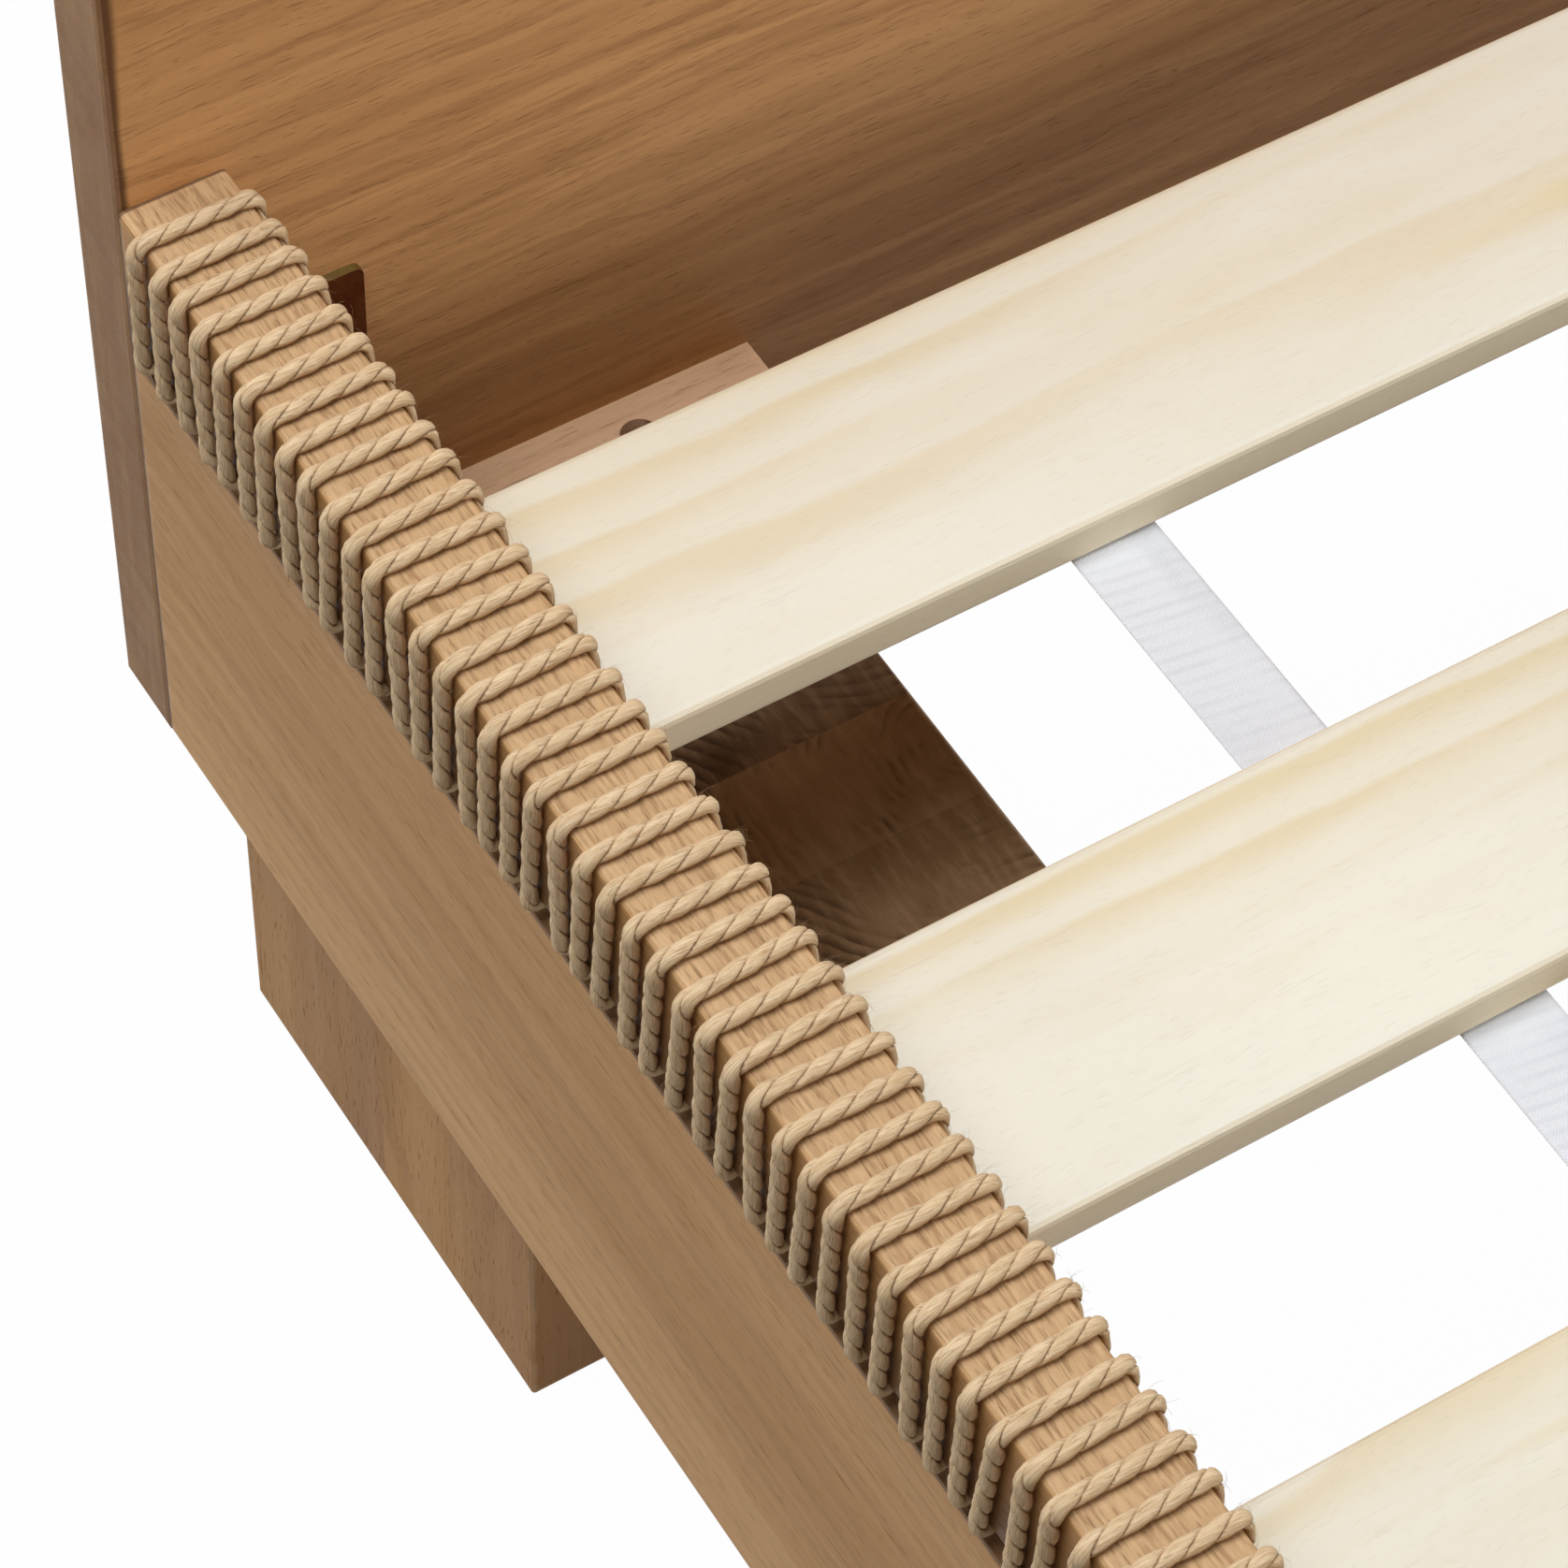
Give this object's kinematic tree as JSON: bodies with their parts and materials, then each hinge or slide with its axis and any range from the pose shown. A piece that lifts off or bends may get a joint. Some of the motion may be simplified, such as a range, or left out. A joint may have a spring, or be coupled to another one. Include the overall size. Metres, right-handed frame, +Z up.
{
  "type": "rope bed",
  "caption": "Low solid-wood double bed with block legs, a board headboard, loose slats on webbing, and side rails whose top bar is wound with twisted cord.",
  "frame": {"origin": "on the floor under the middle of the bed, the middle of the overall box's underside", "axes": "+Y towards the headboard, +X to the right of someone who lies in the bed's direction looking to the head, +Z up"},
  "size_m": [1.5018, 2.074, 0.8],
  "materials": {
    "oiled_wood": "oiled, open pores",
    "leg_wood": "oiled, dark end grain on top",
    "cleat_wood": "plain planed wood",
    "pine": "pale planed softwood, unfinished",
    "cord": "two-ply twisted natural fibre cord",
    "tape": "white woven tape",
    "gilt_steel": "yellow-passivated steel",
    "black_steel": "blackened steel"
  },
  "bodies": {
    "frame": {"headboard": "oiled_wood", "footboard": "oiled_wood", "left_rail": "oiled_wood", "right_rail": "oiled_wood", "head_left_leg": "leg_wood", "head_right_leg": "leg_wood", "foot_left_leg": "leg_wood", "foot_right_leg": "leg_wood", "centre_leg": "leg_wood", "head_left_end_cleat": "cleat_wood", "head_right_end_cleat": "cleat_wood", "foot_left_end_cleat": "cleat_wood", "foot_right_end_cleat": "cleat_wood", "head_left_leg_cleat": "cleat_wood", "head_right_leg_cleat": "cleat_wood", "foot_left_leg_cleat": "cleat_wood", "foot_right_leg_cleat": "cleat_wood", "left_slat_ledger": "cleat_wood", "right_slat_ledger": "cleat_wood", "centre_beam": "cleat_wood", "head_left_bracket": "gilt_steel", "head_right_bracket": "gilt_steel", "foot_left_bracket": "gilt_steel", "foot_right_bracket": "gilt_steel", "head_beam_shoe": "gilt_steel", "foot_beam_shoe": "gilt_steel", "end_bolts": "black_steel", "barrel_nuts": "black_steel", "leg_bolts": "black_steel", "left_rope_turns": "cord", "right_rope_turns": "cord", "left_rope_sleeve": "cord", "right_rope_sleeve": "cord"},
    "slat_base": {"slat_01": "pine", "slat_02": "pine", "slat_03": "pine", "slat_04": "pine", "slat_05": "pine", "slat_06": "pine", "slat_07": "pine", "slat_08": "pine", "slat_09": "pine", "slat_10": "pine", "left_webbing": "tape", "right_webbing": "tape"}
  },
  "joints": [
    {"name": "slat_base_lift", "type": "slide", "parent": "frame", "child": "slat_base", "axis": [0, 0, 1], "range_m": [0, 0.2]}
  ]
}
